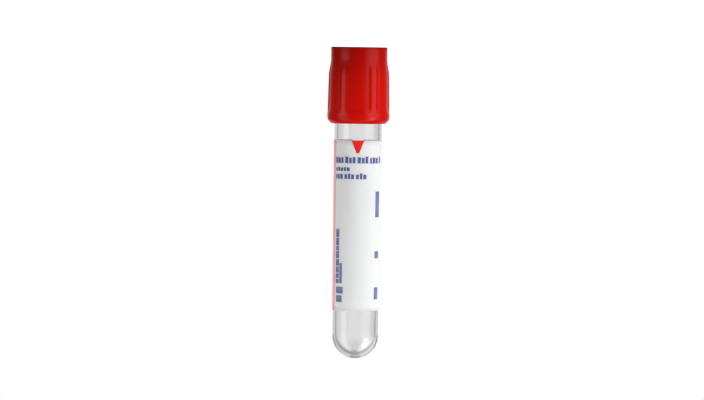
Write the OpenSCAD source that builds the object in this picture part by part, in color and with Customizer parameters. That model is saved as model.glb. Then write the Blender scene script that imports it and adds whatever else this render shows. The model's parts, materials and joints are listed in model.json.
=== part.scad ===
// Blood collection tube, 13 x 75 mm class.
// A clear round-bottomed tube with a paper label. A rubber stopper plugs its mouth, and a ribbed
// safety shield holds the stopper and covers the rim. The shield and stopper pull off together.
// Every piece is drawn upright about the tube's own axis, which runs up from the round bottom, with
// the label's front towards -Y. stand_on_closure() then turns it over: a round tube rolls on its
// side and can't stand on its round bottom, so it stands on the closure's flat top.

/* [Tube] */
// Length from the round bottom to the rim
tube_len = 75; // [65:1:110]
// Outside diameter at the rim
tube_rim_d = 12.7; // [12.2:0.1:14]
// Outside diameter where the round bottom begins
tube_base_d = 12.15; // [11.4:0.05:12.6]
// Thickness of the side wall
tube_wall = 0.9; // [0.6:0.05:1.2]
// Thickness of the round bottom at its middle
tube_floor = 1.4; // [1:0.1:3]
// Rounding of the rim's two edges
rim_round = 0.2; // [0.05:0.05:0.25]
// Diameter of the moulding gate's dimple under the bottom
gate_d = 2.6; // [1.6:0.1:4]
// Depth of the moulding gate's dimple, from its edge
gate_depth = 0.45; // [0.2:0.05:0.6]

/* [Stopper] */
// Depth that the plug reaches below the rim
plug_depth = 8.5; // [7:0.5:12]
// Radial clearance of the plug in the tube's bore
plug_clearance = 0.03; // [0.01:0.01:0.1]
// Rounding of the plug's lower edge
plug_round = 0.6; // [0.2:0.1:1.2]
// Depth of the groove between the plug's two sealing lands
groove_depth = 0.25; // [0.1:0.05:0.5]
// Height of the groove between the plug's two sealing lands
groove_h = 2; // [1.2:0.1:3]
// Thickness of the plug's wall round its hollow underside
plug_wall = 2.3; // [1.5:0.1:3]
// Depth of the hollow in the plug's underside
hollow_depth = 6.4; // [3:0.1:7]
// Gap between the flange and the tube's rim
flange_clearance = 0.05; // [0.02:0.01:0.2]
// Thickness of the flange that seats on the rim
flange_h = 1.6; // [1:0.1:3]
// Diameter of the head above the shield's ledge
head_d = 9.7; // [9:0.1:10]
// Thickness of the head above the shield's ledge
head_h = 1; // [0.8:0.1:2]
// Diameter of the dished needle target in the head
target_d = 6.4; // [4:0.1:7.5]
// Depth of the dished needle target in the head
target_depth = 0.7; // [0.3:0.1:1.2]

/* [Shield] */
// Height from the shield's lower edge to its top
shield_h = 20.4; // [19:0.2:30]
// Depth that the skirt reaches below the tube's rim
skirt_depth = 12; // [10:0.5:14]
// Radial clearance between the tube's rim and the skirt
skirt_clearance = 0.35; // [0.3:0.05:0.6]
// Wall of the smooth top band, measured from the skirt's bore
top_band_wall = 0.83; // [0.6:0.01:1]
// Height of the smooth top band
top_band_h = 3.4; // [2:0.1:5]
// Height of the flare below the top band
flare_h = 4; // [2:0.1:6]
// Wall between the ribs, under the flare
wall_top = 1.1; // [0.9:0.01:1.2]
// Wall between the ribs, at the lower band
wall_foot = 1.28; // [1:0.01:1.4]
// Wall of the smooth lower band
low_band_wall = 1.65; // [1.6:0.01:2.2]
// Height of the lower band's top above the shield's lower edge
low_band_h = 3.1; // [2.8:0.1:5]
// Height of the slope under the lower band
foot_slope_h = 1.6; // [1:0.1:1.8]
// Width of the shield's lower face
foot_w = 0.35; // [0.3:0.05:0.8]
// Rounding where the lower band meets the slope under it
band_round = 0.9; // [0.3:0.1:1.2]
// Rounding of the outer edges
edge_round = 0.4; // [0.2:0.05:0.6]
// Chamfer of the inner edges at the opening and the skirt's mouth
lead_in = 0.2; // [0.1:0.05:0.25]
// Diameter of the opening in the top
opening_d = 10.4; // [10.2:0.1:12]
// Thickness of the ledge that traps the stopper
ledge_h = 1; // [0.8:0.1:2]
// Diameter of the hole in that ledge
ledge_hole_d = 8.2; // [7:0.1:8.6]
// Clearance between the shield and the stopper it holds
hold_clearance = 0.05; // [0.02:0.01:0.1]

/* [Ribs] */
// Number of grip ribs round the shield
rib_count = 6; // [4:1:24]
// Radius of a rib's rounded back
rib_r = 0.9; // [0.5:0.05:1.4]
// Height of a rib above the wall
rib_h = 0.36; // [0.1:0.02:0.4]
// Radius of a rib's sloped end, as a share of the rib's own
rib_end_share = 1.3; // [1.1:0.1:2]

/* [Label] */
// Height of the label
label_h = 45.5; // [30:0.5:48]
// Height of the label's lower edge above the round bottom
label_bottom = 13.1; // [12:0.1:16]
// Thickness of the label's paper
label_t = 0.13; // [0.08:0.01:0.16]
// Thickness of the adhesive under the paper
glue_t = 0.02; // [0.01:0.01:0.04]
// Angle round the tube that the label covers, the rest being a clear window at the back
label_wrap = 328; // [200:1:350]

/* [Print] */
// Height of the ink above the paper
ink_t = 0.02; // [0.01:0.01:0.04]
// Width of the fill arrow at the label's top edge
arrow_w = 3.4; // [2:0.1:6]
// Width of the fill arrow's blunt tip
arrow_tip_w = 0.7; // [0.3:0.1:1.5]
// Height of the fill arrow
arrow_h = 3.4; // [2:0.1:5]
// Gap between the fill arrow and the title under it
line_gap = 0.8; // [0.2:0.1:2]
// Height of the title's line of print
title_h = 1.9; // [1:0.1:2]
// Height of the lines of print under it
line_h = 1.2; // [0.6:0.1:1.8]
// Distance from one line of print to the next
line_pitch = 2.1; // [2:0.1:4]
// Width of the coloured stripe down the label
stripe_w = 5; // [2:0.1:8]
// Angle from the label's front to the near edge of that stripe
stripe_angle = 64; // [60:1:90]

/* [Hidden] */
$fn = 96;

// Small step past a face, so that a cut goes right through it
past = 1;

// Tube
tube_rim_r = tube_rim_d / 2;
tube_base_r = tube_base_d / 2;
bore_base_r = tube_base_r - tube_wall;
gate_r = gate_d / 2;
gate_edge_z = tube_base_r - sqrt(pow(tube_base_r, 2) - pow(gate_r, 2));

// Outside radius of the tube at height z above its round bottom
function tube_r(z) =
    tube_base_r + (tube_rim_r - tube_base_r) * (z - tube_base_r) / (tube_len - tube_base_r);

// Radius of the tube's bore at height z
function bore_r(z) = tube_r(z) - tube_wall;

// Shield
shield_foot = tube_len - skirt_depth;
shield_top = shield_foot + shield_h;
slope_top = shield_foot + foot_slope_h;
band_top = shield_foot + low_band_h;
flare_top = shield_top - top_band_h;
flare_foot = flare_top - flare_h;
skirt_r = tube_rim_r + skirt_clearance;
foot_r = skirt_r + foot_w;
low_band_r = skirt_r + low_band_wall;
wall_foot_r = skirt_r + wall_foot;
wall_top_r = skirt_r + wall_top;
top_band_r = skirt_r + top_band_wall;
opening_r = opening_d / 2;
ledge_hole_r = ledge_hole_d / 2;

// Stopper, and the shield's ledge that its neck passes through
plug_foot = tube_len - plug_depth;
groove_mid = tube_len - plug_depth / 2;
flange_foot = tube_len + flange_clearance;
ledge_bottom = flange_foot + flange_h;
ledge_top = ledge_bottom + ledge_h;
head_top = ledge_top + head_h;
flange_r = skirt_r - hold_clearance;
neck_r = ledge_hole_r - hold_clearance;
head_r = head_d / 2;
pocket_r = head_r + hold_clearance;

// Radius of the plug at height z
function plug_r(z) = bore_r(z) - plug_clearance;
hollow_r = plug_r(plug_foot) - plug_wall;

// Label and print
label_top = label_bottom + label_h;

// Inside radius of the label at height z
function paper_r(z) = tube_r(z) + glue_t;

stripe_turn = stripe_w / (PI * tube_rim_d) * 360;

// Lines of print under the fill arrow, from the top down: the height of each and its two angles
// from the label's front
print_lines = [
    [title_h, -62, 70],
    [line_h, -62, -17],
    [line_h, -62, 23]
];

// Marks that run up the label: their lower and upper ends as shares of its height, and their two
// angles from its front
print_marks = [
    [0.55, 0.70, 50, 66],
    [0.31, 0.35, 50, 66],
    [0.07, 0.14, 50, 66],
    [0.16, 0.48, -59, -47],
    [0.16, 0.28, -45, -37],
    [0.10, 0.14, -57, -34],
    [0.05, 0.09, -57, -37]
];

function unit(v) = v / norm(v);
// Centre of an arc of radius r that rounds the corner at b between a and c
function arc_centre(a, b, c, r) =
    let (u = unit(a - b), v = unit(c - b), half = acos(u * v) / 2)
    b + unit(u + v) * r / sin(half);

// The sliver of a corner that lies outside an arc of radius r
module corner_sliver(a, b, c, r) {
    u = unit(a - b);
    v = unit(c - b);
    reach = r / tan(acos(u * v) / 2);
    centre = arc_centre(a, b, c, r);
    difference() {
        polygon([b, b + u * reach, centre, b + v * reach]);
        translate(centre)
            circle(r);
    }
}

// A closed outline of [x, z, radius] corners, listed anticlockwise, each rounded by its radius
module outline(corners) {
    last = len(corners) - 1;
    flat = [for (c = corners) [c[0], c[1]]];
    before = [for (i = [0:last]) flat[i == 0 ? last : i - 1]];
    after = [for (i = [0:last]) flat[i == last ? 0 : i + 1]];
    turn = [for (i = [0:last]) cross(flat[i] - before[i], after[i] - flat[i])];
    difference() {
        union() {
            polygon(flat);
            for (i = [0:last])
                if (corners[i][2] > 0 && turn[i] < 0)
                    corner_sliver(before[i], flat[i], after[i], corners[i][2]);
        }
        for (i = [0:last])
            if (corners[i][2] > 0 && turn[i] > 0)
                corner_sliver(before[i], flat[i], after[i], corners[i][2]);
    }
}

// Turns a piece over about the label's front, so that the shield's flat top is on the ground
module stand_on_closure()
    translate([0, 0, shield_top])
        rotate([0, 180, 0])
            children();

// A ball of radius r that stands on height z
module ball_on(r, z)
    translate([0, 0, z + r])
        sphere(r);

// Clear tube with a round bottom, drawn in towards it
module tube()
    color("gainsboro", 0.4)
    difference() {
        union() {
            ball_on(tube_base_r, 0);
            rotate_extrude()
                outline([
                    [0, tube_base_r, 0],
                    [tube_base_r, tube_base_r, 0],
                    [tube_rim_r, tube_len, rim_round],
                    [0, tube_len, 0]
                ]);
        }
        ball_on(bore_base_r, tube_floor);
        rotate_extrude()
            outline([
                [0, tube_floor + bore_base_r, 0],
                [bore_base_r, tube_floor + bore_base_r, 0],
                [bore_r(tube_len), tube_len, 0],
                [bore_r(tube_len), tube_len + past, 0],
                [0, tube_len + past, 0]
            ]);
        translate([0, 0, -past])
            cylinder(h = past + gate_edge_z + gate_depth, r = gate_r);
    }

// Rubber stopper: hollow plug, flange on the rim, neck through the ledge and dished head
module stopper()
    color("firebrick")
    difference() {
        rotate_extrude()
            outline([
                [0, plug_foot, 0],
                [plug_r(plug_foot), plug_foot, plug_round],
                [plug_r(groove_mid - groove_h / 2), groove_mid - groove_h / 2, 0],
                [plug_r(groove_mid) - groove_depth, groove_mid - groove_h / 2 + groove_depth, 0],
                [plug_r(groove_mid) - groove_depth, groove_mid + groove_h / 2 - groove_depth, 0],
                [plug_r(groove_mid + groove_h / 2), groove_mid + groove_h / 2, 0],
                [plug_r(flange_foot), flange_foot, 0],
                [flange_r, flange_foot, 0],
                [flange_r, ledge_bottom, 0],
                [neck_r, ledge_bottom, 0],
                [neck_r, ledge_top, 0],
                [head_r, ledge_top, 0],
                [head_r, head_top, edge_round],
                [0, head_top, 0]
            ]);
        rotate_extrude()
            outline([
                [0, plug_foot - past, 0],
                [hollow_r, plug_foot - past, 0],
                [hollow_r, plug_foot + hollow_depth, hollow_r / 2],
                [0, plug_foot + hollow_depth, 0]
            ]);
        rotate_extrude()
            outline([
                [0, head_top - target_depth, 0],
                [target_d / 2 - target_depth, head_top - target_depth, 0],
                [target_d / 2 + past, head_top + past, 0],
                [0, head_top + past, 0]
            ]);
    }

// A round bar of radius r whose back runs through two [x, z] points, and past them by a reach each
module bar(low, high, r, reach_down, reach_up) {
    run = unit(high - low);
    start = low - run * reach_down - [run[1], -run[0]] * r;
    translate([start[0], 0, start[1]])
        rotate([0, atan2(run[0], run[1]), 0])
            cylinder(h = reach_down + norm(high - low) + reach_up, r = r);
}

// One grip rib: a round-backed bar up the wall, cut off by a wider bar that sinks into the flare
module rib() {
    foot = [wall_foot_r + rib_h, band_top];
    knee = [wall_top_r + rib_h, flare_foot];
    tip = [top_band_r, flare_top];
    intersection() {
        bar(foot, knee, rib_r, edge_round, flare_h);
        bar(knee, tip, rib_r * rib_end_share, shield_h, past);
    }
}

// Shield: top band, flare, ribbed wall and lower band outside, opening, ledge and skirt inside
module shield()
    color([0.78, 0.1, 0.06])
    difference() {
        union() {
            rotate_extrude()
                outline([
                    [0, shield_foot, 0],
                    [foot_r, shield_foot, edge_round / 2],
                    [low_band_r, slope_top, band_round],
                    [low_band_r, band_top, edge_round / 2],
                    [wall_foot_r, band_top, 0],
                    [wall_top_r, flare_foot, 0],
                    [top_band_r, flare_top, 0],
                    [top_band_r, shield_top, edge_round],
                    [0, shield_top, 0]
                ]);
            for (i = [0:rib_count - 1])
                rotate((i + 0.5) * 360 / rib_count - 90)
                    rib();
        }
        rotate_extrude()
            polygon([
                [0, shield_foot - past],
                [skirt_r + lead_in + past, shield_foot - past],
                [skirt_r, shield_foot + lead_in],
                [skirt_r, ledge_bottom],
                [ledge_hole_r, ledge_bottom],
                [ledge_hole_r, ledge_top],
                [pocket_r, ledge_top],
                [pocket_r, head_top],
                [opening_r, head_top],
                [opening_r, shield_top - lead_in],
                [opening_r + lead_in + past, shield_top + past],
                [0, shield_top + past]
            ]);
    }

// A layer round the label, between two depths of its surface, two heights and two angles
module layer(inner, outer, low, high, from, to)
    rotate_extrude(angle = to - from, start = from - 90)
        polygon([
            [paper_r(low) + inner, low],
            [paper_r(low) + outer, low],
            [paper_r(high) + outer, high],
            [paper_r(high) + inner, high]
        ]);

// A field of ink, rooted in the paper
module ink(low, high, from, to)
    layer(label_t / 2, label_t + ink_t, low, high, from, to);

// Paper label with its print, open in a clear window down the back
module label() {
    color("white")
        layer(0, label_t, label_bottom, label_top, -label_wrap / 2, label_wrap / 2);
    color([0.78, 0.06, 0.04])
        intersection() {
            layer(label_t / 2, label_t + ink_t, label_top - arrow_h, label_top, -45, 45);
            translate([0, 0, label_top])
                rotate([90, 0, 0])
                    linear_extrude(tube_rim_d)
                        polygon([
                            [-arrow_w / 2, 0],
                            [-arrow_tip_w / 2, -arrow_h],
                            [arrow_tip_w / 2, -arrow_h],
                            [arrow_w / 2, 0]
                        ]);
        }
    color([0.85, 0.5, 0.5])
        ink(label_bottom, label_top, -stripe_angle - stripe_turn, -stripe_angle);
    color([0.25, 0.28, 0.5]) {
        for (i = [0:len(print_lines) - 1]) {
            line = print_lines[i];
            line_top = label_top - arrow_h - line_gap - i * line_pitch;
            ink(line_top - line[0], line_top, line[1], line[2]);
        }
        for (mark = print_marks)
            ink(label_bottom + mark[0] * label_h, label_bottom + mark[1] * label_h, mark[2], mark[3]);
    }
}

stand_on_closure() {
    tube();
    stopper();
    shield();
    label();
}
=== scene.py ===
# %% [markdown]
# # A blood collection tube, stood on its closure
# A clear plastic tube carries a paper label and is closed by a rubber stopper inside a ribbed red
# shield. It rolls on its side and can't stand on its round bottom, so it stands head down, on the
# flat top of its closure. All four pieces are round about one line, the tube's axis. So nearly
# every shape here is a profile turned about that axis, and the lesson works in the tube's own
# measures: an angle round the axis, a radius from it, and a height above the round bottom.
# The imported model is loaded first, because it says where everything is.

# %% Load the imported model
import json
import math

import bmesh
import bpy
import numpy as np
from mathutils import Matrix


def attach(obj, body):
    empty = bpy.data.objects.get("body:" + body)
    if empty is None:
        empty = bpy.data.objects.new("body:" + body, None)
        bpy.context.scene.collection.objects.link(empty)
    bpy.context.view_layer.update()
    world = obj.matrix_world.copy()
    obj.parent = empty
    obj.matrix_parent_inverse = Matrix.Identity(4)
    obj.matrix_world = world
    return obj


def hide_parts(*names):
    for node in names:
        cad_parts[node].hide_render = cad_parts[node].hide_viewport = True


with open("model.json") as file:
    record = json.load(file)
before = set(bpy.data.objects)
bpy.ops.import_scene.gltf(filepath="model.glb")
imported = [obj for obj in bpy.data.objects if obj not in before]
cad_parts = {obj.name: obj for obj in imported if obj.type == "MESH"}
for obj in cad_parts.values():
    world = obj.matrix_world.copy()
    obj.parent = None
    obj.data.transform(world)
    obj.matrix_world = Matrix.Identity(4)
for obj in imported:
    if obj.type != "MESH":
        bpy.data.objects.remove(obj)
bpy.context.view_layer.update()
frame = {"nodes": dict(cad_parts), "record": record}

# %% [markdown]
# Three directions describe how the tube stands: along its axis from the round bottom to the
# closure, out through the middle of the label, and to the label's right. The first is the way a
# needle leaves the closure, which a mount gives. The second is found from the label itself, because
# the paper leaves one clear window down the back, and the middle of the label is opposite it.

# %% Find the tube's axis and the front of its label
MM = 0.001
TUBE_LENGTH = 75.0


def unit(v):
    """A vector of length 1 in the same direction: the vector over its own length."""
    return v / np.linalg.norm(v)


def cad_points(node):
    """Every vertex of a CAD node, one row of x, y, z each, in metres."""
    mesh = frame["nodes"][node].data
    found = np.empty(len(mesh.vertices) * 3)
    mesh.vertices.foreach_get("co", found)
    return found.reshape(-1, 3)


mounts = {mount["name"]: mount for mount in frame["record"]["mounts"]}
along = unit(np.array(mounts["needle_well"]["axis"], float))
on_axis = np.array(mounts["needle_well"]["pos_m"], float)
rim_height = ((cad_points("tube") - on_axis) @ along).max()
origin = on_axis + along * (rim_height - TUBE_LENGTH * MM)

side = unit(np.cross(along, (0.0, 1.0, 0.0)))
ahead = np.cross(side, along)
paper = cad_points("label") - origin
turns = np.sort(np.arctan2(paper @ side, paper @ ahead))
gaps = np.diff(np.append(turns, turns[0] + 2 * math.pi))
window = turns[gaps.argmax()] + gaps.max() / 2
front = -(ahead * math.cos(window) + side * math.sin(window))
right = np.cross(along, front)
print("along", along.round(4), "front", front.round(4), "right", right.round(4))

# %% [markdown]
# Each shape below is worked out in angles, radii and heights, which is how a round part is drawn
# and turned. They could be typed in as x, y and z, but then nothing would hold if the tube stood
# another way. So one function turns the tube's own measures into places in the room, and the CAD's
# pieces are measured with the same directions, and their heights and radii are printed.


# %% Turn the tube's measures into places
def place(angle, radius, height):
    """Points at angles in degrees from the label's front, and at radii and heights in millimetres.

    Each is origin + along * height + (front * cos(angle) + right * sin(angle)) * radius.
    """
    angle, radius, height = np.broadcast_arrays(np.radians(angle), radius, height)
    across = front * np.cos(angle)[..., None] + right * np.sin(angle)[..., None]
    return origin + (along * height[..., None] + across * radius[..., None]) * MM


for node in ("tube", "stopper", "shield", "label"):
    from_axis = cad_points(node) - origin
    height = from_axis @ along / MM
    radius = np.linalg.norm(from_axis - np.outer(from_axis @ along, along), axis=1) / MM
    print(f"{node}: heights {height.min():.2f} to {height.max():.2f}, radius {radius.max():.2f} mm")

# %% [markdown]
# ## Camera
# The label is read with the closure at the top, so the camera is turned over as well: its up is
# the tube's own. It faces the label from as far towards the closure as the table allows, which is
# just above the table. A long lens at 0.9 m keeps the tube's sides almost parallel, and the camera
# is rolled by less than a degree more, so that the tube leans a little. A Track To constraint could
# aim it, but it would turn the camera the usual way up, so its three axes are worked out instead.

# %% Set the camera in front of the label
CAMERA_AIM_HEIGHT = 42.5
CAMERA_DISTANCE = 900.0
CAMERA_ABOVE_TABLE = 2.0
CAMERA_ROLL = 0.85
CAMERA_ASIDE = 1.37
CAMERA_LENS = 171.9
SENSOR_WIDTH = 36.0
SHIELD_TOP = 83.4


def camera_axes(rise, roll):
    """The camera's right, up and backward directions as the columns of a 3 by 3 array.

    Backward rises from the label's front towards the closure, and right and up then turn about it.
    """
    roll = math.radians(roll)
    back = front * math.cos(rise) + along * math.sin(rise)
    up = np.cross(back, right)
    rolled_right = right * math.cos(roll) + up * math.sin(roll)
    rolled_up = up * math.cos(roll) - right * math.sin(roll)
    return np.stack([rolled_right, rolled_up, back], -1)


rise = math.atan((SHIELD_TOP - CAMERA_ABOVE_TABLE - CAMERA_AIM_HEIGHT) / CAMERA_DISTANCE)
axes = camera_axes(rise, CAMERA_ROLL)
from_aim = (axes[:, 2] * CAMERA_DISTANCE - axes[:, 0] * CAMERA_ASIDE) * MM
seat = place(0, 0, CAMERA_AIM_HEIGHT) + from_aim
camera_data = bpy.data.cameras.new("camera")
camera_data.sensor_width = SENSOR_WIDTH
camera_data.lens = CAMERA_LENS
camera = bpy.data.objects.new("camera", camera_data)
camera.matrix_world = Matrix.Translation(seat) @ Matrix(axes.tolist()).to_4x4()
bpy.context.scene.collection.objects.link(camera)
bpy.context.scene.camera = camera
print("camera at, m:", seat.round(4), "rise, degrees:", round(math.degrees(rise), 2))

# %% [markdown]
# ## From a grid of points to a piece
# A grid of points worked out as one array needs only two more things to be a mesh: faces between
# neighbouring points, and one vertex wherever the grid meets itself. A lathe could do that with a
# Spin or Screw modifier, but a grid also takes ribs, a tapered label and marks that follow it,
# and it is worked out in one step.

# %% Make a piece from grids of points
WELD_DISTANCE = 0.0002


def grid_faces(rows, columns, first=0):
    """Quads between neighbours in a grid of rows by columns, numbered row by row from first."""
    number = first + np.arange(rows * columns).reshape(rows, columns)
    corners = [number[:-1, :-1], number[1:, :-1], number[1:, 1:], number[:-1, 1:]]
    return np.stack(corners, -1).reshape(-1, 4)


def add_piece(name, points, faces, material, body, slot):
    """Makes a piece from points and quads, shades it smoothly, and puts it on its body.

    Points that lie together are welded, so the piece has no open edge where its grid meets itself.
    """
    mesh = bpy.data.meshes.new(name)
    mesh.from_pydata(points.reshape(-1, 3).tolist(), [], faces.tolist())
    shape = bmesh.new()
    shape.from_mesh(mesh)
    bmesh.ops.remove_doubles(shape, verts=shape.verts, dist=WELD_DISTANCE * MM)
    loose = [edge for edge in shape.edges if not edge.is_manifold]
    shape.to_mesh(mesh)
    shape.free()
    mesh.polygons.foreach_set("use_smooth", np.ones(len(mesh.polygons), bool))
    mesh.materials.append(material)
    piece = bpy.data.objects.new(name, mesh)
    bpy.context.scene.collection.objects.link(piece)
    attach(piece, body)
    triangles = sum(len(face.vertices) - 2 for face in mesh.polygons)
    print(f"{name}: {triangles} triangles, {len(loose)} open edges")
    return piece


# %% [markdown]
# Moulded parts have no sharp corners. So a profile is given as corners with a rounding each, and
# every corner becomes a short arc. A Bevel modifier could round them too, but here each corner has
# a rounding of its own. A straight stretch next to an arc would be shaded as if it bent too, so it
# gets a point close to each of its ends.


# %% Draw a profile with rounded corners
def rounded(corners, steps=7):
    """A profile through (radius, height, rounding) corners, as rows of radius and height.

    The arc at a corner touches both its sides. With u and v towards the neighbours and h half the
    angle between them, it starts at corner + u * rounding / tan(h), and its centre is at
    corner + (u + v) / |u + v| * rounding / sin(h). Its points swing evenly from start to end.
    """
    spots = np.array([corner[:2] for corner in corners], float)
    share = np.linspace(0, 1, steps + 1)[:, None]
    path = [spots[:1]]
    for i in range(1, len(corners) - 1):
        rounding = corners[i][2]
        u, v = unit(spots[i - 1] - spots[i]), unit(spots[i + 1] - spots[i])
        half = math.acos(float(np.clip(u @ v, -1, 1))) / 2
        centre = spots[i] + unit(u + v) * rounding / math.sin(half)
        start = spots[i] + u * rounding / math.tan(half) - centre
        end = spots[i] + v * rounding / math.tan(half) - centre
        sweep = math.pi - 2 * half
        arc = (np.sin((1 - share) * sweep) * start + np.sin(share * sweep) * end) / math.sin(sweep)
        path.append(centre + arc)
    return np.concatenate(path + [spots[-1:]])


def filled(path, spacing=0.5, margin=0.04):
    """The profile with more points on its long straight stretches.

    There is one a margin from each end of a stretch, and one every spacing. They are found by their
    distance along the profile, so the shape doesn't change.
    """
    lengths = np.linalg.norm(np.diff(path, axis=0), axis=1)
    run = np.append(0, np.cumsum(lengths))
    long = lengths > 5 * margin
    between = np.arange(0, run[-1], spacing)
    between = between[long[np.searchsorted(run, between, side="right") - 1]]
    wanted = np.concatenate([run, run[:-1][long] + margin, run[1:][long] - margin, between])
    wanted = np.unique(wanted.round(5))
    return np.stack([np.interp(wanted, run, path[:, 0]), np.interp(wanted, run, path[:, 1])], -1)


def turned(profile, count):
    """Points of a profile turned about the axis: one row per angle, with the last row on the first."""
    angle = np.linspace(-180, 180, count + 1)[:, None]
    return place(angle, profile[None, :, 0], profile[None, :, 1])


# %% [markdown]
# ## Finishes
# A finish is a small node tree. Colours are written as people pick them, in sRGB hex, and turned
# into the linear values that a renderer adds up. Every pattern reads Object coordinates, which are
# metres here, so a pattern's scale is one over its real size. Image textures could hold the same
# patterns, but they would need unwrapping and go soft close up.


# %% Helpers for colours and nodes
def linear(colour):
    """An sRGB hex colour as linear red, green, blue and alpha.

    Each channel c is c / 12.92 near black, and ((c + 0.055) / 1.055) to the power 2.4 above it.
    """
    c = np.array([int(colour[i : i + 2], 16) for i in (1, 3, 5)]) / 255
    c = np.where(c <= 0.04045, c / 12.92, ((c + 0.055) / 1.055) ** 2.4)
    return (*c.tolist(), 1.0)


def add_node(tree, kind, settings=None, links=None):
    """Adds a node. settings holds its own settings and its sockets' values.

    links holds its sockets' sources. A socket goes by its name, or by its number where several have
    the same name.
    """
    node = tree.nodes.new(kind)
    for name, value in (settings or {}).items():
        if isinstance(name, int) or name in node.inputs:
            node.inputs[name].default_value = value
        else:
            setattr(node, name, value)
    for name, source in (links or {}).items():
        tree.links.new(source, node.inputs[name])
    return node


def new_finish(name):
    """An empty material, and its tree."""
    material = bpy.data.materials.new(name)
    material.use_nodes = True
    material.node_tree.nodes.clear()
    return material, material.node_tree


def per_size(across, length):
    """The scale of a pattern from its real size in millimetres: one over each measure in metres.

    The first measure is across the tube and the second along its upright axis.
    """
    return (1 / (across * MM), 1 / (across * MM), 1 / (length * MM))


def detailed(layers):
    """Settings of a noise with some layers of finer and finer detail, its size left to a Mapping."""
    return {"Scale": 1.0, "Detail": layers}


# %% [markdown]
# ### Clear PET
# The tube is moulded clear: it bends what is behind it, has grey edges where the wall is seen
# lengthways, and the faintest ripple, because the melt flowed up from the gate as it cooled. A grey
# tint on the surface would darken it evenly. Here the plastic itself absorbs a little light, so
# the grey grows with the length of the way through it.

# %% Moulded clear PET
pet, tree = new_finish("moulded_clear_pet")
spot = add_node(tree, "ShaderNodeTexCoord")
flow_size = {"Scale": per_size(2.5, 14)}
flow = add_node(tree, "ShaderNodeMapping", flow_size, {"Vector": spot.outputs["Object"]})
ripple = add_node(tree, "ShaderNodeTexNoise", detailed(1.0), {"Vector": flow.outputs["Vector"]})
shallow = {"Strength": 0.06, "Distance": 0.00003}
bend = add_node(tree, "ShaderNodeBump", shallow, {"Height": ripple.outputs["Fac"]})
clear = {
    "Base Color": linear("#FFFFFF"),
    "Roughness": 0.03,
    "IOR": 1.575,
    "Transmission Weight": 1.0,
    "Specular IOR Level": 0.4,
}
shader = add_node(tree, "ShaderNodeBsdfPrincipled", clear, {"Normal": bend.outputs["Normal"]})
haze = add_node(tree, "ShaderNodeVolumeAbsorption", {"Color": (0, 0, 0, 1), "Density": 72.0})
ends = {"Surface": shader.outputs["BSDF"], "Volume": haze.outputs["Volume"]}
add_node(tree, "ShaderNodeOutputMaterial", None, ends)
print(pet.name, "nodes:", len(tree.nodes))

# %% [markdown]
# ### Red polypropylene
# The shield has a satin skin from a finely eroded mould. Pigment is never mixed quite evenly, so
# one red drifts into another over a few millimetres. The skin's grain is a few hundredths of a
# millimetre, and is drawn four times as coarse here so that it shows. One roughness value would
# give a clean satin, but the grain makes the streaks of light soft and slightly uneven.

# %% Moulded red polypropylene
polypropylene, tree = new_finish("moulded_red_polypropylene")
spot = add_node(tree, "ShaderNodeTexCoord")
melt_size = {"Scale": per_size(3, 8)}
melt = add_node(tree, "ShaderNodeMapping", melt_size, {"Vector": spot.outputs["Object"]})
drift = add_node(tree, "ShaderNodeTexNoise", detailed(2.0), {"Vector": melt.outputs["Vector"]})
reds = {"data_type": "RGBA", 6: linear("#BC0A02"), 7: linear("#C60D02")}
colour = add_node(tree, "ShaderNodeMix", reds, {0: drift.outputs["Fac"]})
grain_size = {"Scale": per_size(0.12, 0.12)}
skin_size = add_node(tree, "ShaderNodeMapping", grain_size, {"Vector": spot.outputs["Object"]})
grain = add_node(tree, "ShaderNodeTexNoise", detailed(3.0), {"Vector": skin_size.outputs["Vector"]})
satin_range = {"To Min": 0.22, "To Max": 0.3}
satin = add_node(tree, "ShaderNodeMapRange", satin_range, {"Value": grain.outputs["Fac"]})
shallow = {"Strength": 0.25, "Distance": 0.00001}
bend = add_node(tree, "ShaderNodeBump", shallow, {"Height": grain.outputs["Fac"]})
looks = {
    "Base Color": colour.outputs[2],
    "Roughness": satin.outputs["Result"],
    "Normal": bend.outputs["Normal"],
}
plastic = {"IOR": 1.49, "Specular IOR Level": 0.14}
shader = add_node(tree, "ShaderNodeBsdfPrincipled", plastic, looks)
add_node(tree, "ShaderNodeOutputMaterial", None, {"Surface": shader.outputs["BSDF"]})
print(polypropylene.name, "nodes:", len(tree.nodes))

# %% [markdown]
# ### Bromobutyl rubber
# The stopper is dull brick red, with a dusty bloom and the open grain of rubber pressed in a mould.
# One flat colour would look like paint. So two brick reds drift into each other for the bloom, and
# one fine noise makes both the pores and the uneven dullness round them.

# %% Moulded bromobutyl rubber
rubber, tree = new_finish("moulded_bromobutyl_rubber")
spot = add_node(tree, "ShaderNodeTexCoord")
bloom_size = {"Scale": per_size(1.2, 1.2)}
patches = add_node(tree, "ShaderNodeMapping", bloom_size, {"Vector": spot.outputs["Object"]})
bloom = add_node(tree, "ShaderNodeTexNoise", detailed(4.0), {"Vector": patches.outputs["Vector"]})
bricks = {"data_type": "RGBA", 6: linear("#7E2418"), 7: linear("#93382A")}
colour = add_node(tree, "ShaderNodeMix", bricks, {0: bloom.outputs["Fac"]})
pore_size = {"Scale": per_size(0.2, 0.2)}
pores = add_node(tree, "ShaderNodeMapping", pore_size, {"Vector": spot.outputs["Object"]})
grain = add_node(tree, "ShaderNodeTexNoise", detailed(4.0), {"Vector": pores.outputs["Vector"]})
deep = {"Strength": 0.4, "Distance": 0.00003}
bend = add_node(tree, "ShaderNodeBump", deep, {"Height": grain.outputs["Fac"]})
dull_range = {"To Min": 0.65, "To Max": 0.85}
dull = add_node(tree, "ShaderNodeMapRange", dull_range, {"Value": grain.outputs["Fac"]})
looks = {
    "Base Color": colour.outputs[2],
    "Roughness": dull.outputs["Result"],
    "Normal": bend.outputs["Normal"],
}
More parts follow.
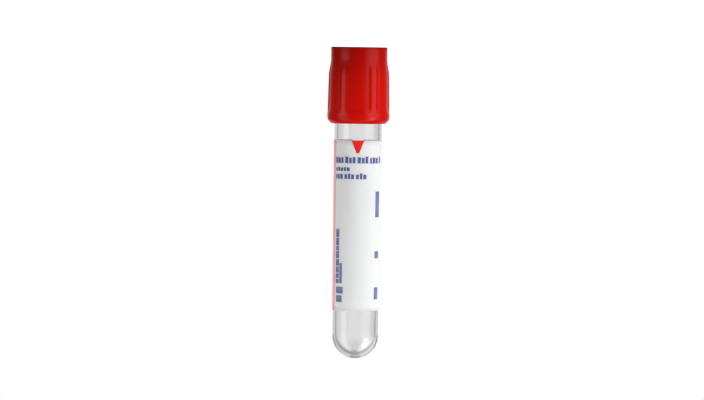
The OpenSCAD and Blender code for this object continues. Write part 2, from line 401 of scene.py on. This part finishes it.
shader = add_node(tree, "ShaderNodeBsdfPrincipled", {"IOR": 1.52}, looks)
add_node(tree, "ShaderNodeOutputMaterial", None, {"Surface": shader.outputs["BSDF"]})
print(rubber.name, "nodes:", len(tree.nodes))

# %% [markdown]
# ### Label paper
# Coated paper is a soft white with no gloss to speak of. Its fibres lie mostly round the tube, the
# way the web ran, and show as a faint mottle. Light goes a little way into it and comes out again,
# which a plain diffuse surface leaves out, so the shader scatters light below the surface.

# %% Coated label paper
paper_finish, tree = new_finish("coated_label_paper")
spot = add_node(tree, "ShaderNodeTexCoord")
fibre_size = {"Scale": per_size(0.9, 0.35)}
web = add_node(tree, "ShaderNodeMapping", fibre_size, {"Vector": spot.outputs["Object"]})
mottle = add_node(tree, "ShaderNodeTexNoise", detailed(4.0), {"Vector": web.outputs["Vector"]})
whites = {"data_type": "RGBA", 6: linear("#EFF1F4"), 7: linear("#F6F8FB")}
colour = add_node(tree, "ShaderNodeMix", whites, {0: mottle.outputs["Fac"]})
shallow = {"Strength": 0.15, "Distance": 0.00001}
bend = add_node(tree, "ShaderNodeBump", shallow, {"Height": mottle.outputs["Fac"]})
soft = {
    "Roughness": 0.55,
    "IOR": 1.5,
    "Specular IOR Level": 0.3,
    "Subsurface Weight": 0.9,
    "Subsurface Radius": (1, 1, 1),
    "Subsurface Scale": 0.0006,
}
looks = {"Base Color": colour.outputs[2], "Normal": bend.outputs["Normal"]}
shader = add_node(tree, "ShaderNodeBsdfPrincipled", soft, looks)
add_node(tree, "ShaderNodeOutputMaterial", None, {"Surface": shader.outputs["BSDF"]})
print(paper_finish.name, "nodes:", len(tree.nodes))

# %% [markdown]
# ### Inks
# Four inks lie on the paper. Each is a little thin in places, because the fibres take it unevenly.
# They could share one material with a colour for each mark, but an ink is a substance of its own.
# So one function makes each from its dense and its thin colour.


# %% Printed inks
def ink_finish(name, dense, thin):
    """An ink that drifts from a dense colour to a thin one over half a millimetre."""
    material, tree = new_finish(name)
    spot = add_node(tree, "ShaderNodeTexCoord")
    blot_size = {"Scale": per_size(0.5, 0.5)}
    fibres = add_node(tree, "ShaderNodeMapping", blot_size, {"Vector": spot.outputs["Object"]})
    take = add_node(tree, "ShaderNodeTexNoise", detailed(3.0), {"Vector": fibres.outputs["Vector"]})
    inks = {"data_type": "RGBA", 6: linear(dense), 7: linear(thin)}
    colour = add_node(tree, "ShaderNodeMix", inks, {0: take.outputs["Fac"]})
    matt = {"Roughness": 0.5, "IOR": 1.5, "Specular IOR Level": 0.3}
    shader = add_node(tree, "ShaderNodeBsdfPrincipled", matt, {"Base Color": colour.outputs[2]})
    add_node(tree, "ShaderNodeOutputMaterial", None, {"Surface": shader.outputs["BSDF"]})
    return material


pale_ink = ink_finish("printed_pale_navy_ink", "#5A6697", "#7F89AE")
navy_ink = ink_finish("printed_navy_ink", "#424E8B", "#5D6AA3")
red_ink = ink_finish("printed_red_ink", "#D6120A", "#E02218")
pink_ink = ink_finish("printed_pink_ink", "#FBA6A6", "#FFB4B4")
print("inks:", [ink.name for ink in (pale_ink, navy_ink, red_ink, pink_ink)])

# %% [markdown]
# ## The tube
# The tube is injection moulded in one shot, so its wall tapers a little and its bottom is a
# hemisphere with a small dimple where the melt came in. One profile goes from the middle of the
# bottom up the outside, over the rim, and down the bore, so that light is bent twice at each wall,
# as in the real one. A single skin with a Solidify modifier would give the wall one thickness, and
# the real floor is thicker than the side.

# %% Turn the clear tube
RIM_RADIUS = 6.35
BASE_RADIUS = 6.075
TUBE_WALL = 0.9
TUBE_FLOOR = 1.4
GATE_RADIUS = 1.3
GATE_DEPTH = 0.45
NUB_RADIUS = 0.5
NUB_LENGTH = 0.28
BOWL_STEPS = 40
TUBE_COLUMNS = 160


def tube_radius(height):
    """The tube's outside radius, which grows in a straight line from the round bottom to the rim."""
    share = (height - BASE_RADIUS) / (TUBE_LENGTH - BASE_RADIUS)
    return BASE_RADIUS + (RIM_RADIUS - BASE_RADIUS) * share


def bowl(radius, foot, start, steps):
    """A quarter circle from an angle off the axis to the equator.

    Its points are at radius * sin and at the height foot + radius * (1 - cos).
    """
    swing = np.linspace(start, math.pi / 2, steps)
    return np.stack([radius * np.sin(swing), foot + radius * (1 - np.cos(swing))], -1)


gate_edge = math.asin(GATE_RADIUS / BASE_RADIUS)
gate_height = BASE_RADIUS * (1 - math.cos(gate_edge))
gate_ceiling = gate_height + GATE_DEPTH
bowl_start = gate_edge * 1.5
dimple = rounded(
    [
        (0, gate_ceiling - NUB_LENGTH, 0),
        (NUB_RADIUS - 0.08, gate_ceiling - NUB_LENGTH + 0.04, 0.08),
        (NUB_RADIUS, gate_ceiling, 0.1),
        (GATE_RADIUS, gate_ceiling, 0.15),
        (GATE_RADIUS, gate_height, 0.08),
        (BASE_RADIUS * math.sin(bowl_start), BASE_RADIUS * (1 - math.cos(bowl_start)), 0),
    ]
)
bore_radius = BASE_RADIUS - TUBE_WALL
rim = rounded(
    [
        (BASE_RADIUS, BASE_RADIUS, 0),
        (RIM_RADIUS, TUBE_LENGTH, 0.2),
        (RIM_RADIUS - TUBE_WALL, TUBE_LENGTH, 0.2),
        (bore_radius, TUBE_FLOOR + bore_radius, 0),
    ]
)
outside = bowl(BASE_RADIUS, 0, bowl_start, BOWL_STEPS)
inside = bowl(bore_radius, TUBE_FLOOR, 0, BOWL_STEPS)[::-1]
wall = filled(rim, spacing=1.5)
profile = np.concatenate([dimple[:-1], outside, wall[1:-1], inside])
points = turned(profile, TUBE_COLUMNS)
faces = grid_faces(*points.shape[:2])
clear_tube = add_piece("clear_tube", points, faces, pet, "tube", "clear_pet")
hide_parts("tube")

# %% [markdown]
# ## The stopper
# The stopper is moulded in rubber. Its plug has two sealing lands with a groove between them and
# is hollow underneath, a flange sits on the rim, and a neck leads to a head with a dish for the
# needle. It can be seen through the clear wall and in the shield's opening. Stacked cylinders would
# need joining and bevelling, and one turned profile gives the same form in a single skin.

# %% Turn the rubber stopper
PLUG_FOOT = 66.5
PLUG_WALL = 2.3
PLUG_CLEARANCE = 0.03
HOLLOW_DEPTH = 6.4
GROOVE_MIDDLE = TUBE_LENGTH - 4.25
GROOVE_DEPTH = 0.25
FLANGE_FOOT = TUBE_LENGTH + 0.05
FLANGE_TOP = TUBE_LENGTH + 1.65
FLANGE_RADIUS = 6.65
NECK_TOP = TUBE_LENGTH + 2.65
NECK_RADIUS = 4.05
HEAD_TOP = 78.65
HEAD_RADIUS = 4.85
DISH_RADIUS = 3.2
DISH_DEPTH = 0.7
STOPPER_COLUMNS = 128


def plug_radius(height):
    """The plug's radius: the bore's, less the running clearance."""
    return tube_radius(height) - TUBE_WALL - PLUG_CLEARANCE


hollow = plug_radius(PLUG_FOOT) - PLUG_WALL
groove_radius = plug_radius(GROOVE_MIDDLE) - GROOVE_DEPTH
stopper_profile = filled(
    rounded(
        [
            (0, PLUG_FOOT + HOLLOW_DEPTH, 0),
            (hollow, PLUG_FOOT + HOLLOW_DEPTH, hollow / 2),
            (hollow, PLUG_FOOT, 0.15),
            (plug_radius(PLUG_FOOT), PLUG_FOOT, 0.6),
            (plug_radius(GROOVE_MIDDLE - 1), GROOVE_MIDDLE - 1, 0.2),
            (groove_radius, GROOVE_MIDDLE - 0.75, 0.1),
            (groove_radius, GROOVE_MIDDLE + 0.75, 0.1),
            (plug_radius(GROOVE_MIDDLE + 1), GROOVE_MIDDLE + 1, 0.2),
            (plug_radius(TUBE_LENGTH), FLANGE_FOOT, 0.05),
            (FLANGE_RADIUS, FLANGE_FOOT, 0.15),
            (FLANGE_RADIUS, FLANGE_TOP, 0.15),
            (NECK_RADIUS, FLANGE_TOP, 0.1),
            (NECK_RADIUS, NECK_TOP, 0.1),
            (HEAD_RADIUS, NECK_TOP, 0.1),
            (HEAD_RADIUS, HEAD_TOP, 0.4),
            (DISH_RADIUS, HEAD_TOP, 0.12),
            (DISH_RADIUS - 0.7, HEAD_TOP - DISH_DEPTH, 0.25),
            (0, HEAD_TOP - DISH_DEPTH, 0),
        ]
    )
)
points = turned(stopper_profile, STOPPER_COLUMNS)
faces = grid_faces(*points.shape[:2])
rubber_stopper = add_piece("rubber_stopper", points, faces, rubber, "closure", "butyl_rubber")
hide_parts("stopper")

# %% [markdown]
# ## The safety shield
# The shield is one moulding: a smooth band round the top, a wall with six grip ribs that sink into
# a flare under that band, a thicker smooth band at the foot, and inside it an opening, a ledge that
# traps the stopper, and a skirt over the rim. The foot band is slightly crowned, so that light makes
# a soft spot on it and not a straight streak. Boolean bars would leave hard creases beside the ribs.
# Here a rib is a soft wave added to the wall's radius instead, as the mould's polished grooves
# leave it.

# %% Shape the ribbed red shield
SHIELD_FOOT = 63.0
BAND_TOP = 66.1
BAND_RADIUS = 8.35
WALL_FOOT_RADIUS = 7.98
FLARE_FOOT = 76.0
FLARE_FOOT_RADIUS = 7.8
FLARE_TOP = 80.0
TOP_BAND_RADIUS = 7.53
OPENING_RADIUS = 5.2
SEAT_RADIUS = 4.9
LEDGE_RADIUS = 4.1
LEDGE_TOP = 77.65
LEDGE_FOOT = 76.65
SKIRT_RADIUS = 6.7
RIB_COUNT = 6
RIB_HEIGHT = 0.26
RIB_CREST = 3.5
RIB_FOOT = 11.0
SHIELD_COLUMNS = 396


def eased(value, start, end):
    """0 before start, 1 after end, and between them 3 * s^2 - 2 * s^3 of the share s of the way."""
    share = np.clip((value - start) / (end - start), 0, 1)
    return share**2 * (3 - 2 * share)


def rib_height(angle, height):
    """How far the nearest rib stands out of the wall, in millimetres.

    It falls from its full height at the flat crest's edge to nothing at the rib's foot, by the angle
    from the rib's middle. Along the wall it rises out of the foot band and sinks into the flare.
    """
    pitch = 360 / RIB_COUNT
    off = np.abs((angle % pitch) - pitch / 2)
    across = 1 - eased(off, RIB_CREST, RIB_FOOT)
    risen = eased(height, BAND_TOP - 0.6, BAND_TOP + 1.2)
    return RIB_HEIGHT * across * risen * eased(-height, -FLARE_TOP, -FLARE_FOOT)


foot_seam = (6.9, SHIELD_FOOT, 0)
top_seam = (6.2, SHIELD_TOP, 0)
skin = filled(
    rounded(
        [
            foot_seam,
            (7.25, SHIELD_FOOT, 0.2),
            (8.2, SHIELD_FOOT + 0.95, 0.9),
            (BAND_RADIUS, SHIELD_FOOT + 1.95, 4.5),
            (BAND_RADIUS, BAND_TOP - 0.6, 1.6),
            (WALL_FOOT_RADIUS, BAND_TOP + 0.9, 1.6),
            (FLARE_FOOT_RADIUS, FLARE_FOOT, 1.5),
            (TOP_BAND_RADIUS, FLARE_TOP, 1.5),
            (TOP_BAND_RADIUS, SHIELD_TOP, 0.25),
            top_seam,
        ]
    ),
    spacing=0.3,
)
lining = filled(
    rounded(
        [
            top_seam,
            (OPENING_RADIUS + 0.2, SHIELD_TOP, 0.1),
            (OPENING_RADIUS, SHIELD_TOP - 0.2, 0.1),
            (OPENING_RADIUS, HEAD_TOP, 0.1),
            (SEAT_RADIUS, HEAD_TOP, 0.05),
            (SEAT_RADIUS, LEDGE_TOP, 0.1),
            (LEDGE_RADIUS, LEDGE_TOP, 0.05),
            (LEDGE_RADIUS, LEDGE_FOOT, 0.05),
            (SKIRT_RADIUS, LEDGE_FOOT, 0.15),
            (SKIRT_RADIUS, SHIELD_FOOT + 0.2, 0.05),
            foot_seam,
        ]
    ),
    spacing=2,
)
angle = np.linspace(-180, 180, SHIELD_COLUMNS + 1)[:, None]
radius = np.minimum(skin[None, :, 0] + rib_height(angle, skin[None, :, 1]), BAND_RADIUS)
outer = place(angle, radius, skin[None, :, 1])
inner = place(angle, lining[None, 1:, 0], lining[None, 1:, 1])
points = np.concatenate([outer, inner], axis=1)
faces = grid_faces(*points.shape[:2])
safety_shield = add_piece("safety_shield", points, faces, polypropylene, "closure", "red_polypropylene")
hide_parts("shield")

# %% [markdown]
# ## The label
# The label is one strip of paper glued round the tube, with its two ends apart, so that a clear
# window down the back shows the level inside. A flat strip could be bent with a Simple Deform
# modifier, but the tube tapers. So the strip is made as a thin closed shell that lies on the
# tube's own surface, at a constant depth of glue over it.

# %% Wrap the paper round the tube
LABEL_BOTTOM = 13.1
LABEL_TOP = 58.6
GLUE = 0.02
PAPER = 0.13
WRAP = 328.0


def shell(angle, height, low, high):
    """Points and faces of a thin closed shell between two depths over the tube's surface.

    The outer grid is at tube radius + high and the inner at tube radius + low. Faces join them round
    the grid's border, which is walked once: along one side, up, back, and down.
    """
    angle, height = np.broadcast_arrays(angle, height)
    rows, columns = angle.shape
    outer = place(angle, tube_radius(height) + high, height)
    inner = place(angle, tube_radius(height) + low, height)
    points = np.concatenate([outer.reshape(-1, 3), inner.reshape(-1, 3)])
    number = np.arange(rows * columns).reshape(rows, columns)
    border = [number[:-1, 0], number[-1, :-1], number[:0:-1, -1], number[0, :0:-1]]
    border = np.concatenate(border)
    after = np.roll(border, -1)
    rim = np.stack([border, border + rows * columns, after + rows * columns, after], -1)
    under = grid_faces(rows, columns, rows * columns)[:, ::-1]
    return points, np.concatenate([grid_faces(rows, columns), under, rim])


angle = np.linspace(-WRAP / 2, WRAP / 2, 165)[:, None]
height = np.linspace(LABEL_BOTTOM, LABEL_TOP, 32)[None, :]
points, faces = shell(angle, height, GLUE, GLUE + PAPER)
paper_label = add_piece("paper_label", points, faces, paper_finish, "tube", "label_paper")
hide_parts("label")

# %% [markdown]
# ## The print
# The print is generic: a fill arrow that points down, bars in place of lines of words, and a
# coloured stripe. Each mark is a much thinner shell on the paper. An image could hold them all, but
# a shape stays sharp at any distance and can be moved by changing one number. The ink reaches a
# little way into the paper, so the two never lie face on face and flicker.

# %% Print the stripe, the arrow and the bars
INK = 0.02
INK_SOAK = 0.01
INK_LOW = GLUE + PAPER - INK_SOAK
INK_HIGH = GLUE + PAPER + INK
STRIPE_START = -109
STRIPE_END = -64
MOST_BLOCKS = 40


def block(low, high, start, end):
    """A mark between two heights in millimetres and two angles in degrees, as a shell of ink.

    Its rows of points are at most 2 degrees apart, and its columns at most 3 mm.
    """
    columns = 2 + int((high - low) / 3)
    rows = 2 + int(abs(end - start) / 2)
    angle = np.linspace(start, end, rows)[:, None]
    height = np.linspace(low, high, columns)[None, :]
    return shell(angle, height, INK_LOW, INK_HIGH)


def arrow(top, tall, wide, tip):
    """A blunt arrow that points down, as a shell of ink.

    Its half width shrinks in a straight line from the top to the tip.
    """
    share = np.linspace(-1, 1, 13)[:, None]
    height = np.linspace(top - tall, top, 13)[None, :]
    half = (tip + (wide - tip) * (height - (top - tall)) / tall) / 2
    angle = np.degrees(np.arcsin(share * half / tube_radius(height)))
    return shell(angle, height, INK_LOW, INK_HIGH)


def gather(marks):
    """Joins the points and faces of several marks.

    Each mark's faces are renumbered by the number of points in the marks before it.
    """
    starts = np.cumsum([0] + [len(points) for points, faces in marks])
    faces = [faces + start for (points, faces), start in zip(marks, starts)]
    return np.concatenate([points for points, faces in marks]), np.concatenate(faces)


def greeked(low, high, start, end, seed, word):
    """Plain upright blocks from one angle to another in place of a line of words.

    Their widths and the heights they leave free are drawn from a seeded list, and after every word
    of so many blocks there is a wider gap. No block is a letter.
    """
    draw = np.random.default_rng(seed)
    widths = draw.uniform(5.5, 8.5, MOST_BLOCKS)
    spaces = np.where(np.arange(MOST_BLOCKS) % word == word - 1, 5.0, 2.2)
    starts = start + np.concatenate([[0], np.cumsum(widths + spaces)[:-1]])
    fits = np.flatnonzero(starts + widths <= end)
    drop = draw.uniform(0, 0.28, MOST_BLOCKS) * (high - low)
    return [block(low, high - drop[i], starts[i], starts[i] + widths[i]) for i in fits]


stripe = block(LABEL_BOTTOM, LABEL_TOP, STRIPE_START, STRIPE_END)
fill_arrow = arrow(LABEL_TOP, tall=3.4, wide=3.4, tip=0.7)
lines = greeked(52.5, 54.4, start=-62, end=70, seed=1, word=3)
lines += greeked(50.4, 51.6, start=-62, end=-17, seed=2, word=8)
lines += greeked(48.3, 49.9, start=-62, end=24, seed=3, word=3)
add_piece("print_stripe", *stripe, pink_ink, "tube", "label_paper")
add_piece("print_arrow", *fill_arrow, red_ink, "tube", "label_paper")
add_piece("print_lines", *gather(lines), navy_ink, "tube", "label_paper")

# %% [markdown]
# Small words run up both sides of a real label, and look like narrow upright bars from a little way
# off. Each side gets plain blocks in a paler ink, because thin strokes with paper between them
# look paler than a solid mark.

# %% Print the marks that run up the sides
MOST_IN_COLUMN = 20
COLUMN_GAP = 0.22


def column(low, high, start, end, seed):
    """Plain blocks one above another, in place of words that run up the tube.

    Their lengths are drawn from a seeded list, and those that end below the top are kept.
    """
    lengths = np.random.default_rng(seed).uniform(1.0, 2.2, MOST_IN_COLUMN)
    lows = low + np.concatenate([[0], np.cumsum(lengths + COLUMN_GAP)[:-1]])
    fits = np.flatnonzero(lows + lengths <= high)
    return [block(lows[i], lows[i] + lengths[i], start, end) for i in fits]


# Each row is a block's lowest and highest height, and the angles where it starts and ends.
SIDE_MARKS = [
    (38.1, 45.0, 50, 66),
    (27.2, 29.0, 50, 66),
    (16.2, 19.4, 50, 66),
    (20.4, 25.8, -45, -37),
    (17.7, 19.5, -57, -34),
    (15.4, 17.2, -57, -37),
]
marks = [block(*mark) for mark in SIDE_MARKS]
marks += column(20.4, 34.9, start=-59, end=-47, seed=111)
add_piece("print_sides", *gather(marks), pale_ink, "tube", "label_paper")

# %% [markdown]
# ## Table and light
# The tube stands on a white table in a white room, as for a catalogue. A plain white table under
# lamps would turn grey and hold a strong shadow, so this one is lit from within. Light that falls
# on the tube finds something else there: a dark patch beside the closure, towards the label's
# left, and past its soft edge the open room. So the closure grows darker towards the end that it
# stands on, and is darker on its left than on its right.

# %% Lay the white table
PATCH_START = 0.012
PATCH_END = 0.052
TABLE_HALF = 4
table_finish, tree = new_finish("lit_white_table")
ray = add_node(tree, "ShaderNodeLightPath")
either = {0: ray.outputs["Is Camera Ray"], 1: ray.outputs["Is Transmission Ray"]}
seen = add_node(tree, "ShaderNodeMath", {"operation": "MAXIMUM"}, either)
glow = add_node(tree, "ShaderNodeEmission", {"Color": (1, 1, 1, 1), "Strength": 0.88})
top = add_node(tree, "ShaderNodeBsdfDiffuse", {"Color": (0.3, 0.3, 0.3, 1)})
white = add_node(tree, "ShaderNodeAddShader", None, {0: glow.outputs[0], 1: top.outputs[0]})
spot = add_node(tree, "ShaderNodeTexCoord")
patch_middle = {"operation": "DISTANCE", 1: place(-90, 12, SHIELD_TOP).tolist()}
away = add_node(tree, "ShaderNodeVectorMath", patch_middle, {0: spot.outputs["Object"]})
ring = {"From Min": PATCH_START, "From Max": PATCH_END, "interpolation_type": "SMOOTHSTEP"}
opened = add_node(tree, "ShaderNodeMapRange", ring, {"Value": away.outputs["Value"]})
dark = add_node(tree, "ShaderNodeBsdfDiffuse", {"Color": (0.03, 0.03, 0.03, 1)})
gone = add_node(tree, "ShaderNodeBsdfTransparent")
dark_or_gone = {0: opened.outputs["Result"], 1: dark.outputs[0], 2: gone.outputs[0]}
unseen = add_node(tree, "ShaderNodeMixShader", None, dark_or_gone)
unseen_or_white = {0: seen.outputs[0], 1: unseen.outputs[0], 2: white.outputs[0]}
mix = add_node(tree, "ShaderNodeMixShader", None, unseen_or_white)
add_node(tree, "ShaderNodeOutputMaterial", None, {"Surface": mix.outputs[0]})
mesh = bpy.data.meshes.new("table")
near, far = -TABLE_HALF, TABLE_HALF
table_corners = [(near, near, 0), (far, near, 0), (far, far, 0), (near, far, 0)]
mesh.from_pydata(table_corners, [], [(0, 1, 2, 3)])
mesh.materials.append(table_finish)
table = bpy.data.objects.new("table", mesh)
bpy.context.scene.collection.objects.link(table)
print("table:", 2 * TABLE_HALF, "m wide, dark patch fades out", PATCH_END / MM, "mm from its middle")

# %% [markdown]
# Two small oval lamps on the label's right make the small highlights: one on the round bottom, and
# one on the shield's foot band. The room's broad light can't make a small spot, and lamps can be
# aimed. They are hidden from light that has passed through the plastic, where their image would
# burn out the ring of the round bottom.


# %% Set the two lamps that make the small highlights
LAMP_AIM_HEIGHT = 42


def softbox(name, angle, rise, distance, width, tall, brightness):
    """An oval light that faces the middle of the tube.

    It is seen from there at an angle round the tube, and at a rise towards the closure. Its power
    is pi * area * brightness, so that brightness is what a mirror would show.
    """
    turn, rise = math.radians(angle), math.radians(rise)
    level = front * math.cos(turn) + right * math.sin(turn)
    back = level * math.cos(rise) + along * math.sin(rise)
    side = unit(np.cross(along, back))
    data = bpy.data.lights.new(name, "AREA")
    data.shape = "ELLIPSE"
    data.size, data.size_y = width, tall
    data.energy = math.pi * math.pi / 4 * width * tall * brightness
    light = bpy.data.objects.new(name, data)
    turned_to = Matrix(np.stack([side, np.cross(back, side), back], -1).tolist()).to_4x4()
    seat = place(0, 0, LAMP_AIM_HEIGHT) + back * distance
    light.matrix_world = Matrix.Translation(seat) @ turned_to
    light.visible_transmission = False
    bpy.context.scene.collection.objects.link(light)
    print(f"{name}: {data.energy:.2f} W, {width} by {tall} m at {distance} m")


softbox("key_softbox", angle=56, rise=-40, distance=0.7, width=0.3, tall=0.3, brightness=2.6)
softbox("band_softbox", angle=56, rise=-19, distance=0.72, width=0.17, tall=0.22, brightness=10.0)

# %% [markdown]
# The broad light is the room itself, with a wide box on the label's right, a narrower and slightly
# brighter one on its left, and a faint glow from behind. Nothing bright is behind the camera, which
# gives every round piece a dark middle between two soft streaks. Area lamps could stand in for the
# boxes, but one curve of brightness round the tube has soft edges and adds no grain. A colour ramp
# holds nothing over 1, so it holds each brightness as a share of 3, and the background's strength
# makes it up again. Below the table's level the strength is greater, which makes up for some of
# what the dark patch takes from the closure.

# %% Light the room
# Each row is an angle round the tube from the label's front, and how bright the room is there.
ROOM = [
    (-180, 0.65),
    (-155, 0.65),
    (-130, 0.1),
    (-86, 0.1),
    (-68, 2.4),
    (-54, 2.4),
    (-38, 0.12),
    (20, 0.12),
    (46, 2.05),
    (72, 2.05),
    (92, 0.1),
    (130, 0.1),
    (155, 0.65),
    (180, 0.65),
]
RAMP_FULL = 3.0
FULL_BELOW_TABLE = 4.8
world = bpy.data.worlds.new("studio")
world.use_nodes = True
tree = world.node_tree
tree.nodes.clear()
way = add_node(tree, "ShaderNodeTexCoord").outputs["Generated"]
rightward = {"operation": "DOT_PRODUCT", 1: right.tolist()}
to_right = add_node(tree, "ShaderNodeVectorMath", rightward, {0: way})
frontward = {"operation": "DOT_PRODUCT", 1: front.tolist()}
to_front = add_node(tree, "ShaderNodeVectorMath", frontward, {0: way})
both = {0: to_right.outputs["Value"], 1: to_front.outputs["Value"]}
angle_round = add_node(tree, "ShaderNodeMath", {"operation": "ARCTAN2"}, both)
full_turn = {"From Min": -math.pi, "From Max": math.pi}
turn_share = add_node(tree, "ShaderNodeMapRange", full_turn, {"Value": angle_round.outputs[0]})
boxes = add_node(tree, "ShaderNodeValToRGB", None, {"Fac": turn_share.outputs["Result"]})
boxes.color_ramp.interpolation = "EASE"
stops = boxes.color_ramp.elements
for stop, (degrees, brightness) in enumerate(ROOM):
    element = stops[stop] if stop < 2 else stops.new((degrees + 180) / 360)
    element.position = (degrees + 180) / 360
    element.color = (brightness / RAMP_FULL, brightness / RAMP_FULL, brightness / RAMP_FULL, 1)
closureward = {"operation": "DOT_PRODUCT", 1: along.tolist()}
to_closure = add_node(tree, "ShaderNodeVectorMath", closureward, {0: way})
lower = {"From Min": -0.1, "From Max": 0.15, "To Min": RAMP_FULL, "To Max": FULL_BELOW_TABLE}
level = add_node(tree, "ShaderNodeMapRange", lower, {"Value": to_closure.outputs["Value"]})
room_light = {"Color": boxes.outputs["Color"], "Strength": level.outputs["Result"]}
lit = add_node(tree, "ShaderNodeBackground", None, room_light)
print("the room, angle and brightness:", ROOM)

# %% [markdown]
# Behind the tube hangs a white sweep. The camera sees it as pure white. Through the clear wall it
# shows white only where the light comes nearly straight from it, and grey where the wall bends it
# from further round, so the tube is outlined in grey as real plastic is. A lamp's share is added
# at the ceiling's right, where the round bottom's right side picks it up. White cards could
# do all this too, but each would also change the light on every other piece.

# %% Hang the white sweep
ray = add_node(tree, "ShaderNodeLightPath")
straight = add_node(tree, "ShaderNodeMath", {"operation": "ABSOLUTE"}, {0: to_front.outputs["Value"]})
cone = {
    "From Min": 0.68,
    "From Max": 0.86,
    "To Min": 0.45,
    "To Max": 0.86,
    "interpolation_type": "SMOOTHSTEP",
}
through = add_node(tree, "ShaderNodeMapRange", cone, {"Value": straight.outputs[0]})
above = {"From Min": -0.2, "From Max": -0.4, "interpolation_type": "SMOOTHSTEP"}
ceiling = add_node(tree, "ShaderNodeMapRange", above, {"Value": to_closure.outputs["Value"]})
beside = {"From Min": 0.0, "From Max": 0.25, "To Max": 0.5, "interpolation_type": "SMOOTHSTEP"}
right_half = add_node(tree, "ShaderNodeMapRange", beside, {"Value": to_right.outputs["Value"]})
up_and_right = {0: ceiling.outputs["Result"], 1: right_half.outputs["Result"]}
lamp = add_node(tree, "ShaderNodeMath", {"operation": "MULTIPLY"}, up_and_right)
brighter = {0: through.outputs["Result"], 1: lamp.outputs[0], 2: through.outputs["Result"]}
strength = add_node(tree, "ShaderNodeMath", {"operation": "MULTIPLY_ADD"}, brighter)
bent = add_node(tree, "ShaderNodeBackground", {"Color": (1, 1, 1, 1)}, {"Strength": strength.outputs[0]})
sweep = add_node(tree, "ShaderNodeBackground", {"Color": (1, 1, 1, 1), "Strength": 1.0})
lit_or_bent = {0: ray.outputs["Is Transmission Ray"], 1: lit.outputs[0], 2: bent.outputs[0]}
unseen_room = add_node(tree, "ShaderNodeMixShader", None, lit_or_bent)
unseen_or_sweep = {0: ray.outputs["Is Camera Ray"], 1: unseen_room.outputs[0], 2: sweep.outputs[0]}
room = add_node(tree, "ShaderNodeMixShader", None, unseen_or_sweep)
add_node(tree, "ShaderNodeOutputWorld", None, {"Surface": room.outputs[0]})
bpy.context.scene.world = world
bpy.context.scene.view_settings.view_transform = "Standard"
print("world nodes:", len(tree.nodes))
